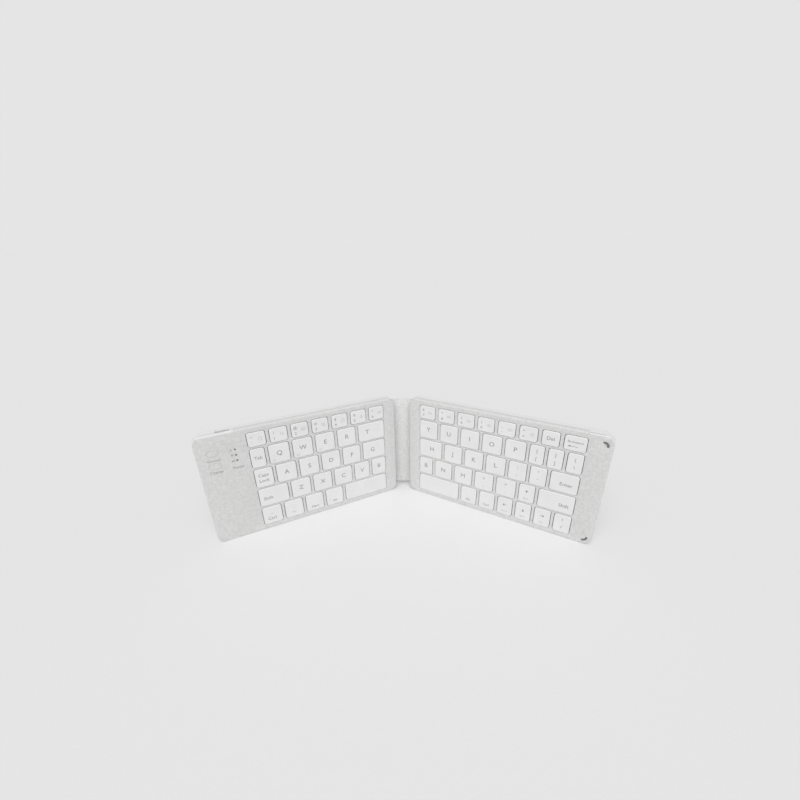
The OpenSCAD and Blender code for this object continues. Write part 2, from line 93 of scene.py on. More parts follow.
def roundedLoop(u0, u1, v0, v1, radius, steps=7, along=0):
    # anticlockwise outline of a rounded rectangle: a quarter circle round each corner centre,
    # with some points along each straight side, and the outward direction at each point
    centres = [(u1 - radius, v0 + radius), (u1 - radius, v1 - radius),
               (u0 + radius, v1 - radius), (u0 + radius, v0 + radius)]
    points, outward = [], []
    for k, centre in enumerate(centres):
        turn = np.linspace(0, math.pi / 2, steps) + (k - 1) * math.pi / 2
        ray = np.stack([np.cos(turn), np.sin(turn)], 1)
        points.append(centre + radius * ray)
        outward.append(ray)
        if along:
            share = np.arange(1, along + 1)[:, None] / (along + 1)
            nextStart = np.array(centres[(k + 1) % 4]) + radius * ray[-1]
            points.append(points[-1][-1] * (1 - share) + nextStart * share)
            outward.append(np.repeat(ray[-1:], along, 0))
    return np.concatenate(points), np.concatenate(outward)


def circleLoop(u, v, radius, steps=28):
    # a circle and its outward directions
    turn = np.arange(steps) * 2 * math.pi / steps
    ray = np.stack([np.cos(turn), np.sin(turn)], 1)
    return np.array([u, v]) + radius * ray, ray


def wallPart(loop, outward, offset, level, inside=False, smooth=True):
    # an outline carried along a profile: offset is how far the profile stands out from the
    # outline and level how deep it lies, one row for all points or one row for each point
    n = len(loop)
    offset, level = np.broadcast_arrays(np.atleast_2d(offset), np.atleast_2d(level))
    offset = np.broadcast_to(offset, (n, offset.shape[1]))
    level = np.broadcast_to(level, offset.shape)
    flat = loop[:, None, :] + outward[:, None, :] * offset[..., None]
    points = np.concatenate([flat, level[..., None]], -1)
    run = np.cumsum(np.hypot(np.diff(offset, axis=1), np.diff(level, axis=1)), 1)
    run = np.concatenate([np.zeros((n, 1)), run], 1) * (-1 if inside else 1)
    uv = flat[:, :1] + outward[:, None, :] * run[..., None]
    return makePart(points, gridFaces(n, offset.shape[1]), uv, smooth)


def insideLoop(points, loop):
    # counts how often a ray from each point crosses the outline
    a, b = loop[None, :, :], np.roll(loop, -1, 0)[None, :, :]
    p = points[:, None, :]
    spans = (a[..., 1] > p[..., 1]) != (b[..., 1] > p[..., 1])
    rise = np.where(b[..., 1] == a[..., 1], 1e-12, b[..., 1] - a[..., 1])
    crossing = (b[..., 0] - a[..., 0]) * (p[..., 1] - a[..., 1]) / rise + a[..., 0]
    return (spans & (p[..., 0] < crossing)).sum(1) % 2 == 1


def flatPart(loops, level):
    # triangles over the area inside the first outline and outside the others, at one level
    clean = [loop[np.hypot(*(loop - np.roll(loop, 1, 0)).T) > 1e-4] for loop in loops]
    points, edges = np.concatenate(clean), []
    for loop, start in zip(clean, np.cumsum([0] + [len(loop) for loop in clean])):
        index = np.arange(len(loop)) + start
        edges += np.stack([index, np.roll(index, -1)], 1).tolist()
    filled = delaunay_2d_cdt([Vector(p) for p in points.tolist()], edges, [], 0, 1e-5)
    points = np.array([tuple(p) for p in filled[0]])
    triangles = np.array(filled[2])
    middle = points[triangles].mean(1)
    keep = insideLoop(middle, clean[0])
    for loop in clean[1:]:
        keep &= ~insideLoop(middle, loop)
    points = np.column_stack([points, np.full(len(points), level)])
    return makePart(points, triangles[keep].tolist(), smooth=False)


def quarter(radius, steps=5):
    # a quarter circle as two rows: how far it has come in, and how far it has gone down
    turn = np.linspace(0, math.pi / 2, steps)
    return radius * np.sin(turn), radius * (1 - np.cos(turn))


def makePiece(name, parts, mapping, materials, body, replaced=(), sharpDegrees=38):
    # joins parts into one mesh, merges their shared edges and hangs the piece on its body
    points, faces, smooth, tone, count = [], [], [], [], 0
    for p in parts:
        points.append(p["points"])
        faces += [[index + count for index in face] for face in p["faces"]]
        smooth += [p["smooth"]] * len(p["faces"])
        tone += [p["tone"]] * len(p["faces"])
        count += len(p["points"])
    uv = np.concatenate([p["uv"] for p in parts])
    mesh = bpy.data.meshes.new(name)
    mesh.from_pydata(mapping(np.concatenate(points)).tolist(), [], faces)
    corner = np.concatenate([np.asarray(face) for face in faces])
    mesh.uv_layers.new(name="weave").data.foreach_set("uv", (uv[corner] * mm).ravel())
    mesh.polygons.foreach_set("use_smooth", smooth)
    mesh.polygons.foreach_set("material_index", tone)
    work = bmesh.new()
    work.from_mesh(mesh)
    bmesh.ops.remove_doubles(work, verts=work.verts, dist=1e-6)
    bmesh.ops.dissolve_degenerate(work, dist=1e-7, edges=work.edges)
    bmesh.ops.recalc_face_normals(work, faces=work.faces)
    work.to_mesh(mesh)
    work.free()
    mesh.set_sharp_from_angle(angle=math.radians(sharpDegrees))
    piece = bpy.data.objects.new(name, mesh)
    bpy.context.scene.collection.objects.link(piece)
    for material in materials:
        mesh.materials.append(material)
    if body:
        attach(piece, body)
    if replaced:
        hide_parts(*replaced)
    return piece


def onHalf(side):
    return lambda points: place(side, points)


# materials

def addNode(tree, kind, inputs=None, **options):
    # adds a node, sets its options, and links or sets its inputs
    made = tree.nodes.new("ShaderNode" + kind)
    for key, value in options.items():
        setattr(made, key, value)
    for key, value in (inputs or {}).items():
        if isinstance(value, bpy.types.NodeSocket):
            tree.links.new(value, made.inputs[key])
        else:
            made.inputs[key].default_value = value
    return made


def newMaterial(name):
    material = bpy.data.materials.new(name)
    material.use_nodes = True
    tree = material.node_tree
    return material, tree, tree.nodes["Principled BSDF"]


def calc(tree, operation, a, b=0.0, c=0.0):
    return addNode(tree, "Math", {0: a, 1: b, 2: c}, operation=operation).outputs[0]


def grey(srgb, warm=0.0):
    # a slightly warm or cool grey written as it looks on screen, 0 to 255, in linear light
    value = [srgb + warm, srgb, srgb - warm]
    return [((c / 255 + 0.055) / 1.055) ** 2.4 for c in value] + [1.0]


def rampTo(tree, factor, low, high, start=0.3, end=0.7):
    ramp = addNode(tree, "ValToRGB", {"Fac": factor})
    for element, stop, colour in zip(ramp.color_ramp.elements, (start, end), (low, high)):
        element.position = stop
        element.color = colour
    return ramp.outputs["Color"]


def mixColours(tree, factor, a, b, blend="MIX"):
    mix = addNode(tree, "Mix", {0: factor, 6: a, 7: b}, data_type="RGBA", blend_type=blend)
    return mix.outputs[2]


wovenSkin = {"dark": 197, "light": 222, "thread": 0.46, "slubLength": 6.5, "slubWidth": 0.75,
             "threadDepth": 0.05, "roughness": 0.6}


def wovenMaterial(name, paintedLight=0):
    # coated cloth: crossing threads, each over then under the next, with long slubs both ways;
    # the last argument makes the whole cloth paler, painted light for cloth that lies in shade
    material, tree, shader = newMaterial(name)
    uv = addNode(tree, "UVMap", uv_map="weave").outputs[0]
    waver = addNode(tree, "TexNoise", {"Vector": uv, "Scale": 260.0, "Detail": 2.0})
    shift = addNode(tree, "VectorMath", {0: waver.outputs["Color"], 1: (0.5, 0.5, 0.5)},
                    operation="SUBTRACT").outputs[0]
    bent = addNode(tree, "VectorMath", {0: shift, 1: (2.5e-4,) * 3, 2: uv},
                   operation="MULTIPLY_ADD").outputs[0]
    across = addNode(tree, "SeparateXYZ", {0: bent})
    step = math.pi / (wovenSkin["thread"] * mm)
    warpWave = calc(tree, "SINE", calc(tree, "MULTIPLY", across.outputs[0], step))
    weftWave = calc(tree, "SINE", calc(tree, "MULTIPLY", across.outputs[1], step))
    over = calc(tree, "MULTIPLY", warpWave, weftWave)  # its sign says which thread is on top
    warpUp = calc(tree, "MULTIPLY_ADD", over, 0.5, 0.5)
    weftUp = calc(tree, "MULTIPLY_ADD", over, -0.5, 0.5)
    warp = calc(tree, "MULTIPLY", calc(tree, "ABSOLUTE", warpWave), warpUp)
    weft = calc(tree, "MULTIPLY", calc(tree, "ABSOLUTE", weftWave), weftUp)
    height = calc(tree, "MAXIMUM", warp, weft)
    long, wide = (1 / (wovenSkin[key] * mm) for key in ("slubLength", "slubWidth"))
    slubs = []
    for scale in ((wide, long, 1), (long, wide, 1)):
        stretched = addNode(tree, "Mapping", {"Vector": uv, "Scale": scale}).outputs[0]
        slubs.append(addNode(tree, "TexNoise", {"Vector": stretched, "Scale": 1.0, "Detail": 4.0,
                                                "Roughness": 0.68}).outputs["Fac"])
    streak = calc(tree, "MULTIPLY_ADD", slubs[0], 0.55, calc(tree, "MULTIPLY", slubs[1], 0.45))
    mottle = addNode(tree, "TexNoise", {"Vector": uv, "Scale": 420.0, "Detail": 3.0,
                                        "Roughness": 0.7}).outputs["Fac"]
    shade = calc(tree, "MULTIPLY_ADD", mottle, 0.34, calc(tree, "MULTIPLY", streak, 0.66))
    # the thread relief also darkens the colour between the threads: painted shade, beside the bump below
    shade = calc(tree, "MULTIPLY_ADD", height, 0.10, calc(tree, "SUBTRACT", shade, 0.04))
    dark, light = grey(wovenSkin["dark"] + paintedLight), grey(wovenSkin["light"] + paintedLight, 0.6)
    colour = rampTo(tree, shade, dark, light, 0.36, 0.62)
    tree.links.new(colour, shader.inputs["Base Color"])
    rough = calc(tree, "MULTIPLY_ADD", streak, 0.25, wovenSkin["roughness"] - 0.12)
    tree.links.new(rough, shader.inputs["Roughness"])
    relief = calc(tree, "MULTIPLY_ADD", streak, 0.5, height)
    bump = addNode(tree, "Bump", {"Height": relief, "Strength": 0.55,
                                  "Distance": wovenSkin["threadDepth"] * mm})
    tree.links.new(bump.outputs[0], shader.inputs["Normal"])
    shader.inputs["Specular IOR Level"].default_value = 0.35
    return material


def mouldedMaterial(name, colour, grain=0.12, depth=0.004, roughness=0.45, spread=0.08,
                    contrast=0.03, cloud=14.0, stretch=(1, 1, 1), **values):
    # fine-grained plastic, rubber or metal: cloudy tone, uneven gloss and a moulded or rolled grain
    material, tree, shader = newMaterial(name)
    where = addNode(tree, "TexCoord").outputs["Object"]
    where = addNode(tree, "Mapping", {"Vector": where, "Scale": stretch}).outputs[0]
    clouds = addNode(tree, "TexNoise", {"Vector": where, "Scale": 1 / (cloud * mm), "Detail": 4.0})
    fine = addNode(tree, "TexNoise", {"Vector": where, "Scale": 1 / (grain * mm), "Detail": 2.0})
    low = [c * (1 - contrast) for c in colour[:3]] + [1.0]
    high = [min(1.0, c * (1 + contrast)) for c in colour[:3]] + [1.0]
    tint = calc(tree, "MULTIPLY_ADD", fine.outputs["Fac"], 0.3,
                calc(tree, "MULTIPLY", clouds.outputs["Fac"], 0.7))
    tree.links.new(rampTo(tree, tint, low, high), shader.inputs["Base Color"])
    gloss = calc(tree, "MULTIPLY_ADD", clouds.outputs["Fac"], spread, roughness - spread / 2)
    tree.links.new(gloss, shader.inputs["Roughness"])
    bump = addNode(tree, "Bump", {"Height": fine.outputs["Fac"], "Strength": 0.5,
                                  "Distance": depth * mm})
    tree.links.new(bump.outputs[0], shader.inputs["Normal"])
    for key, value in values.items():
        shader.inputs[key.replace("_", " ")].default_value = value
    return material


skinMaterial = wovenMaterial("woven skin")
# the spine's face lies in the shade between the halves; its cloth is the same, painted 9 levels paler as
# painted light
spinePaintedLightSkin = wovenMaterial("woven spine skin with painted light", 9)
capMaterial = mouldedMaterial("satin key plastic", grey(228), depth=0.003, roughness=0.42)
shellMaterial = mouldedMaterial("satin shell plastic", grey(222), grain=0.2, depth=0.008,
                                roughness=0.5)
inkMaterial = mouldedMaterial("grey key print", grey(152), grain=0.08, contrast=0.18,
                              cloud=0.6, roughness=0.5, spread=0.2)
faintInkMaterial = mouldedMaterial("pale key print", grey(188), grain=0.08, contrast=0.12,
                                   cloud=0.6, roughness=0.5, spread=0.2)
bumperMaterial = mouldedMaterial("grey rubber", grey(108), grain=0.15, depth=0.012,
                                 roughness=0.62, contrast=0.15, cloud=3.0)
lensMaterial = mouldedMaterial("smoked light guide", grey(150), roughness=0.16, depth=0.001,
                               cloud=1.5, contrast=0.15, Transmission_Weight=0.35)
portMaterial = mouldedMaterial("drawn port steel", grey(226), grain=0.1, depth=0.004,
                               roughness=0.3, stretch=(1, 1, 0.12), cloud=3.0, contrast=0.1,
                               Metallic=1.0)
tongueMaterial = mouldedMaterial("grey port plastic", grey(150), roughness=0.5, cloud=2.0,
                                 contrast=0.2)
print("materials made")

# the keys

keys = {"height": 15.3, "numberHeight": 11.0, "rowGap": 1.9, "gap": 2.6, "numberGap": 2.9,
        "window": 0.34, "corner": 1.6, "leftBlock": 102.0, "rightBlock": 120.0}
letterWidth, numberWidth, smallWidth, middlingWidth, slimWidth = 14.4, 12.1, 11.2, 12.6, 9.7
modifierWidth = 13.8
# each row runs from the inner edge outwards: width (0 fills the row) and print
rows = {
    "left": [
        [(0, ""), (modifierWidth, "low Alt"), (modifierWidth, "low Start"), (modifierWidth, "faint Fn"),
         (modifierWidth, "ctrl")],
        [(12.0, "B"), (middlingWidth, "V"), (letterWidth, "C"), (letterWidth, "X"), (letterWidth, "Z"),
         (0, "leftShift")],
        [(0, "G"), (letterWidth, "F"), (letterWidth, "D"), (letterWidth, "S"), (letterWidth, "A"),
         (middlingWidth, "caps")],
        [(0, "T"), (letterWidth, "R"), (letterWidth, "E 3"), (letterWidth, "W 2"), (letterWidth, "Q 1"),
         (slimWidth, "word Tab")],
        [(12.0, "number ^ 6 back")]
        + [(numberWidth, "number " + legend) for legend in
           ("% 5 cut", "$ 4 paste", "# 3 copy", "@ 2 frame", "! 1 finder", "~ ` house")],
    ],
    "right": [
        [(0, ""), (middlingWidth, "low Alt"), (numberWidth, "low Ctrl"), (smallWidth, "arrow left Home"),
         (smallWidth, "arrow down PgDn"), (smallWidth, "arrow right End"), (smallWidth, "pair ? /")],
        [(11.4, "B"), (letterWidth, "N"), (letterWidth, "M"), (letterWidth, "pair < ,"),
         (letterWidth, "pair > ."), (smallWidth, "arrow up PgUp"), (0, "rightShift")],
        [(0, "H"), (letterWidth, "J"), (letterWidth, "K"), (letterWidth, "L"),
         (middlingWidth, "pair : ;"), (smallWidth, "pair \" '"), (18.2, "enter")],
        [(0, "Y"), (letterWidth, "U"), (letterWidth, "I"), (letterWidth, "O"), (letterWidth, "P"),
         (slimWidth, "pair { ["), (slimWidth, "pair } ]"), (slimWidth, "pair | \\")],
        [(width, "number " + legend) for width, legend in
         ((12.8, "& 7 play"), (12.9, "* 8 next"), (12.9, "( 9 mute"), (numberWidth, ") 0 softer"),
          (numberWidth, "_ - louder"), (numberWidth, "+ = lock"))]
        + [(smallWidth, "word Del"), (13.6, "backspace")],
    ],
}
numberRow = 4


def groupOf(name, row, legend):
    # the keys that move together: a bank, or one key that is named after its letter
    letter = legend.split(" ")[0]
    if row == numberRow:
        return name + "_number"
    if len(letter) == 1:
        return "b_" + name if letter == "B" else letter.lower()
    return name + ("_control" if legend else "_space")


def layOut(name):
    # the place and size of every key on one half
    made = []
    for row, entries in enumerate(rows[name]):
        gap = keys["numberGap" if row == numberRow else "gap"]
        height = keys["numberHeight" if row == numberRow else "height"]
        taken = sum(entry[0] for entry in entries) + gap * (len(entries) - 1)
        start = half["innerMargin"]
        for width, legend in entries:
            width = width or keys[name + "Block"] - taken
            made.append({"u": start + width / 2, "w": width, "h": height, "row": row,
                         "v": half["frontMargin"] + row * (keys["height"] + keys["rowGap"]) + height / 2,
                         "group": groupOf(name, row, legend), "legend": legend})
            start += width + gap
    return made


keyPlan = {name: layOut(name) for name in sides}

cap = {"top": -0.5, "under": 0.5, "skirtEnd": 1.7, "wall": 0.8, "fillet": 0.38, "dish": 0.1,
       "stem": 1.2, "edge": 0.12}


def capLevel(key, u, v):
    # the cap's shallow dish: deepest in the middle, none at the start of its rounded edge
    reach = 2 * cap["fillet"]
    du, dv = (u - key["u"]) * 2 / (key["w"] - reach), (v - key["v"]) * 2 / (key["h"] - reach)
    return cap["top"] + cap["dish"] * np.clip(1 - du ** 2, 0, 1) * np.clip(1 - dv ** 2, 0, 1)


def capPart(key):
    # rings of a rounded rectangle from the middle of the top, over the rounded edge, down the
    # skirt, under it and in to the stem
    du, dv = key["w"] / 2, key["h"] / 2
    loop, outward = roundedLoop(key["u"] - du, key["u"] + du, key["v"] - dv, key["v"] + dv,
                                keys["corner"], 6, 3)
    middle = np.array([key["u"], key["v"]])
    rim = loop - outward * cap["fillet"]
    rings = []
    for share in (0, 0.2, 0.4, 0.6, 0.8, 0.93, 1):
        flat = middle + (rim - middle) * share
        level = capLevel(key, *flat.T) if share < 1 else np.full(len(flat), cap["top"])
        rings.append(np.column_stack([flat, level]))
    come, down = quarter(cap["fillet"])
    profile = [(a - cap["fillet"], cap["top"] + b) for a, b in zip(come[1:], down[1:])]
    profile += [(0, cap["skirtEnd"] - cap["edge"]), (-cap["edge"], cap["skirtEnd"]),
                (-cap["wall"], cap["skirtEnd"]), (-cap["wall"], cap["under"])]
    for offset, level in profile:
        rings.append(np.column_stack([loop + outward * offset, np.full(len(loop), level)]))
    turn = np.arctan2(*(loop - middle).T[::-1])
    for radius, level in ((cap["stem"], cap["under"]), (cap["stem"], cap["skirtEnd"]),
                          (0, cap["skirtEnd"])):
        ring = middle + radius * np.stack([np.cos(turn), np.sin(turn)], 1)
        rings.append(np.column_stack([ring, np.full(len(ring), level)]))
    return makePart(np.stack(rings, 1), gridFaces(len(loop), len(rings)))


# the print on the keys

glyphs = {}


def glyphOf(text):
    # a line of type as a thin solid, centred on its own middle
    bold = 0 if text == "M" else 0.009  # a bolder M closes up
    if text not in glyphs:
        curve = bpy.data.curves.new("type", "FONT")
        curve.body, curve.align_x, curve.align_y = text, "CENTER", "CENTER"
        curve.resolution_u, curve.extrude, curve.offset = 3, 0.5, bold
        made = bpy.data.objects.new("type", curve)
        bpy.context.scene.collection.objects.link(made)
        mesh = made.evaluated_get(bpy.context.evaluated_depsgraph_get()).to_mesh()
        points = np.zeros(len(mesh.vertices) * 3)
        mesh.vertices.foreach_get("co", points)
        points = points.reshape(-1, 3)
        glyphs[text] = points, [list(p.vertices) for p in mesh.polygons]
        bpy.data.objects.remove(made)
        bpy.data.curves.remove(curve)
    return glyphs[text]


capital = np.ptp(glyphOf("H")[0][:, 1])


def ribbonGlyph(path, width, closed=False):
    # a line of one width along a path, mitred at its bends, as a thin solid
    path = np.asarray(path, float)
    if closed:
        before, after = np.roll(path, 1, 0), np.roll(path, -1, 0)
    else:
        before = np.vstack([2 * path[0] - path[1], path[:-1]])
        after = np.vstack([path[1:], 2 * path[-1] - path[-2]])
    turn = []
    for step in (path - before, after - path):
        step = step / np.linalg.norm(step, axis=1, keepdims=True)
        turn.append(np.stack([-step[:, 1], step[:, 0]], 1))
    mitre = (turn[0] + turn[1]) / np.maximum(0.35, 1 + (turn[0] * turn[1]).sum(1))[:, None]
    left, right = path + mitre * width / 2, path - mitre * width / 2
    rim = [(left, 0.5), (right, 0.5), (right, -0.5), (left, -0.5)]
    points = np.stack([np.column_stack([flat, np.full(len(flat), z)]) for flat, z in rim], 1)
    count = len(path) if closed else len(path) - 1
    i, k = np.arange(count)[:, None], np.arange(4)[None, :]
    j = (i + 1) % len(path)
    quads = np.stack([i * 4 + k, j * 4 + k, j * 4 + (k + 1) % 4, i * 4 + (k + 1) % 4], -1)
    faces = quads.reshape(-1, 4).tolist()
    if not closed:
        last = 4 * (len(path) - 1)
        faces += [[0, 1, 2, 3], [last, last + 1, last + 2, last + 3]]
    return points.reshape(-1, 3), faces


def arc(x, y, radius, start, end, steps=12):
    turn = np.radians(np.linspace(start, end, steps))
    return np.stack([x + radius * np.cos(turn), y + radius * np.sin(turn)], 1)


def boxPath(x0, y0, x1, y1):
    return [(x0, y0), (x1, y0), (x1, y1), (x0, y1)]


horn = [(-0.9, 0.28), (-0.5, 0.28), (-0.05, 0.7), (-0.05, -0.7), (-0.5, -0.28), (-0.9, -0.28)]
# each sign is a list of lines in a box from -1 to 1; True closes a line
signs = {
    "house": [([(-0.95, 0), (0, 0.9), (0.95, 0)], False),
              ([(-0.62, 0.1), (-0.62, -0.8), (0.62, -0.8), (0.62, 0.1)], False)],
    "finder": [(arc(-0.2, 0.2, 0.55, 0, 345, 20), True), ([(0.22, -0.22), (0.85, -0.85)], False)],
    "frame": [(boxPath(-0.85, -0.65, 0.85, 0.65), True), (boxPath(-0.35, -0.2, 0.35, 0.2), True)],
    "copy": [(boxPath(-0.8, -0.3, 0.25, 0.85), True), (boxPath(-0.25, -0.85, 0.8, 0.3), True)],
    "paste": [(boxPath(-0.65, -0.85, 0.65, 0.65), True), ([(-0.3, 0.8), (0.3, 0.8)], False)],
    "cut": [(arc(-0.45, -0.6, 0.24, 0, 340, 14), True), (arc(0.45, -0.6, 0.24, 0, 340, 14), True),
            ([(-0.3, -0.42), (0.4, 0.85)], False), ([(0.3, -0.42), (-0.4, 0.85)], False)],
    "back": [([(0, 0.6), (-0.85, 0), (0, -0.6)], True), ([(0.9, 0.6), (0.05, 0), (0.9, -0.6)], True)],
    "next": [([(0, 0.6), (0.85, 0), (0, -0.6)], True), ([(-0.9, 0.6), (-0.05, 0), (-0.9, -0.6)], True)],
    "play": [([(-0.9, 0.6), (0, 0), (-0.9, -0.6)], True), ([(0.3, 0.6), (0.3, -0.6)], False),
             ([(0.75, 0.6), (0.75, -0.6)], False)],
    "mute": [(horn, True), ([(0.3, 0.35), (0.9, -0.35)], False), ([(0.9, 0.35), (0.3, -0.35)], False)],
    "softer": [(horn, True), (arc(-0.1, 0, 0.55, -40, 40, 8), False)],
    "louder": [(horn, True), (arc(-0.1, 0, 0.5, -40, 40, 8), False),
               (arc(-0.1, 0, 0.95, -42, 42, 10), False)],
    "lock": [(boxPath(-0.65, -0.8, 0.65, 0.1), True), (arc(0, 0.2, 0.42, 0, 180, 12), False)],
    "left": [([(0.8, 0), (-0.75, 0)], False), ([(-0.25, 0.45), (-0.8, 0), (-0.25, -0.45)], True)],
    "right": [([(-0.8, 0), (0.75, 0)], False), ([(0.25, 0.45), (0.8, 0), (0.25, -0.45)], True)],
    "up": [([(0, -0.8), (0, 0.75)], False), ([(-0.45, 0.25), (0, 0.8), (0.45, 0.25)], True)],
    "down": [([(0, 0.8), (0, -0.75)], False), ([(-0.45, -0.25), (0, -0.8), (0.45, -0.25)], True)],
    "longArrow": [([(2.3, 0), (-2.0, 0)], False), ([(-1.3, 0.42), (-2.2, 0), (-1.3, -0.42)], True)],
    "waves": [(arc(0, -0.5, 0.35, 45, 135, 8), False), (arc(0, -0.5, 0.8, 45, 135, 8), False),
              (arc(0, -0.5, 1.25, 45, 135, 8), False)],
    "capital": [([(-0.55, -0.7), (0, 0.75), (0.55, -0.7)], False), ([(-0.32, -0.2), (0.32, -0.2)], False)],
}
inkThick = 0.03


def stamp(glyph, side, u, v, scale, surface, tone=0):
    # lays a thin solid on a surface: right for the viewer, half sunk into what carries it
    points, faces = glyph
    flatU, flatV = u + side * points[:, 0] * scale, v + points[:, 1] * scale
    level = surface(flatU, flatV) - inkThick * (points[:, 2] + 0.2)
    return makePart(np.column_stack([flatU, flatV, level]), faces, smooth=False, tone=tone)


def legendParts(key, side):
    # what is printed on one key: text or a sign, with its place on the key in mm
    def surface(u, v):
        return capLevel(key, u, v)

    def write(text, x, y, high, tone=0):
        return [stamp(glyphOf(text), side, key["u"] + side * x, key["v"] + y, high / capital,
                      surface, tone)]

    def draw(sign, x, y, size, line=0.26, tone=0):
        return [stamp(ribbonGlyph(path, line / size, closed), side, key["u"] + side * x,
                      key["v"] + y, size, surface, tone) for path, closed in signs[sign]]

    kind, *words = key["legend"].split(" ") if key["legend"] else ("",)
    if kind == "":
        return []
    if kind == "low":
        return write(words[0], -0.3, -3.9, 2.1)
    if kind == "ctrl":
        return write("Ctrl", -0.8, -3.2, 2.7) + draw("house", -0.6, 1.0, 1.1, 0.2, 1)
    if kind == "faint":
        return write(words[0], -0.4, -3.4, 1.9, 1)
    if kind == "word":
        return write(words[0], 0, 0, 2.6)
    if kind == "leftShift":
        return write("Shift", -4.4, -1.4, 2.7)
    if kind == "rightShift":
        return write("Shift", 5.4, -1.6, 2.7)
    if kind == "caps":
        return write("Caps", -0.4, 2.2, 2.6) + write("Lock", -0.4, -2.4, 2.6)
    if kind == "enter":
        return write("Enter", 1.4, -1.0, 2.7)
    if kind == "backspace":
        return write("Backspace", 0, 1.2, 1.65) + draw("longArrow", -1.2, -2.2, 1.35, 0.34)
    if kind == "arrow":
        return draw(words[0], 0, 1.6, 1.7, 0.42) + write(words[1], 0, -4.2, 1.3, 1)
    if kind == "pair":
        return write(words[0], 0, 3.1, 2.5) + write(words[1], 0, -3.1, 2.5)
    if kind == "number":
        return (write(words[0], -3.2, 2.1, 2.0) + write(words[1], -3.2, -2.4, 2.1)
                + draw(words[2], 2.5, 0.2, 1.6, 0.26, 1))
    lead = {"T": -3.6, "G": -1.3, "H": 1.3}.get(kind, 0)  # on a wide key the letter stands outwards
    parts = write(kind, lead, 0.2, 3.6)
    if words:  # the three device channels
        ring = roundedLoop(-5.4, -3.4, -6.2, -4.4, 0.45, 4)[0]
        parts += [stamp(ribbonGlyph(ring, 0.16, True), side, key["u"], key["v"], 1, surface, 1)]
        parts += write(words[0], -4.4, -5.3, 1.1, 1)
    return parts


for name, side in sides.items():
    for group in sorted({key["group"] for key in keyPlan[name]}):
        members = [key for key in keyPlan[name] if key["group"] == group]
        nodeName = (group + "_keys" if group.endswith(("number", "control"))
                    else group + "_key" if group.endswith("space") else "key_" + group)
        capParts = [capPart(key) for key in members]
        makePiece(group + "_caps", capParts, onHalf(side), [capMaterial], "cap_" + group,
                  [nodeName])
        marks = [mark for key in members for mark in legendParts(key, side)]
        if marks:
            makePiece(group + "_print", marks, onHalf(side), [inkMaterial, faintInkMaterial],
                      "cap_" + group)
print("key caps and their print made")

# skins and shells of the halves

skin = {"bareRim": 1.3, "rim": 0.45, "wrapRim": 0.85, "windowRim": 0.16, "wrap": 0.5, "wrapEdge": 0.1,
        "bareEnd": {"left": 26.0, "right": 15.0}, "backRim": 0.5, "backSeam": 2.0,
        "spineInset": 4.0}
shell = {"wall": 1.5, "lowerWall": 2.1, "partingEdge": 0.12}
port = {"fromEnd": 19.2, "level": 3.7, "width": 8.9, "height": 3.2, "deep": 7.3, "sheet": 0.3,
        "lip": 0.1, "recess": 0.3, "clear": 0.1}
tongue = {"halfWide": 2.85, "halfThick": 0.35, "setBack": 1.6, "edge": 0.12}
pins = {"count": 8, "first": -2.1, "pitch": 0.6, "halfWide": 0.13, "thick": 0.04,
        "levels": (-0.37, 0.33), "start": 1.0, "setBack": 1.9, "edge": 0.015}
lens = {"u": half["width"] - 24.6, "v": (65.6, 69.9, 74.2), "radius": 0.6, "clear": 0.1}
bumper = {"inset": 6.0, "radius": 2.5, "width": 1.0, "proud": 0.5, "clear": 0.1, "fillet": 0.3}
portU = half["width"] - port["fromEnd"]


def bumperLoop(v, up, inset):
    # a quarter ring with round ends, bending towards the corner: outer arc, end, inner arc, end
    wide = bumper["width"] / 2 - inset
    pieces = []
    for radius, start, end, cx, cy in (
            (bumper["radius"] + wide, 0, 90, 0, 0), (wide, 90, 270, 0, bumper["radius"]),
            (bumper["radius"] - wide, 90, 0, 0, 0), (wide, 180, 360, bumper["radius"], 0)):
        turn = np.radians(np.linspace(start, end, 12))
        sign = -1 if radius == bumper["radius"] - wide and (cx, cy) == (0, 0) else 1
        ray = np.stack([np.cos(turn), np.sin(turn)], 1)
        pieces.append(np.column_stack([np.array([cx, cy]) + radius * ray, sign * ray]))
    loop = np.concatenate(pieces)
    if not up:
        loop = loop[::-1] * [1, -1, 1, -1]
    return loop[:, :2] + [half["width"] - bumper["inset"], v], loop[:, 2:]


bareLine = half["depth"] - skin["bareRim"]  # the skin's rear edge along the bare ends
bumperPlaces = [(bareLine - bumper["inset"], True), (bumper["inset"], False)]


def holeLoops(name):
    # the key windows of a half, and the holes for its lenses or its bumpers
    loops = []
    for key in keyPlan[name]:
        du, dv = key["w"] / 2 + keys["window"], key["h"] / 2 + keys["window"]
        loops.append(roundedLoop(key["u"] - du, key["u"] + du, key["v"] - dv, key["v"] + dv,
                                 keys["corner"] + keys["window"], 8))
    if name == "left":
        loops += [circleLoop(lens["u"], v, lens["radius"] + lens["clear"]) for v in lens["v"]]
    else:
        loops += [bumperLoop(v, up, -bumper["clear"]) for v, up in bumperPlaces]
    return loops


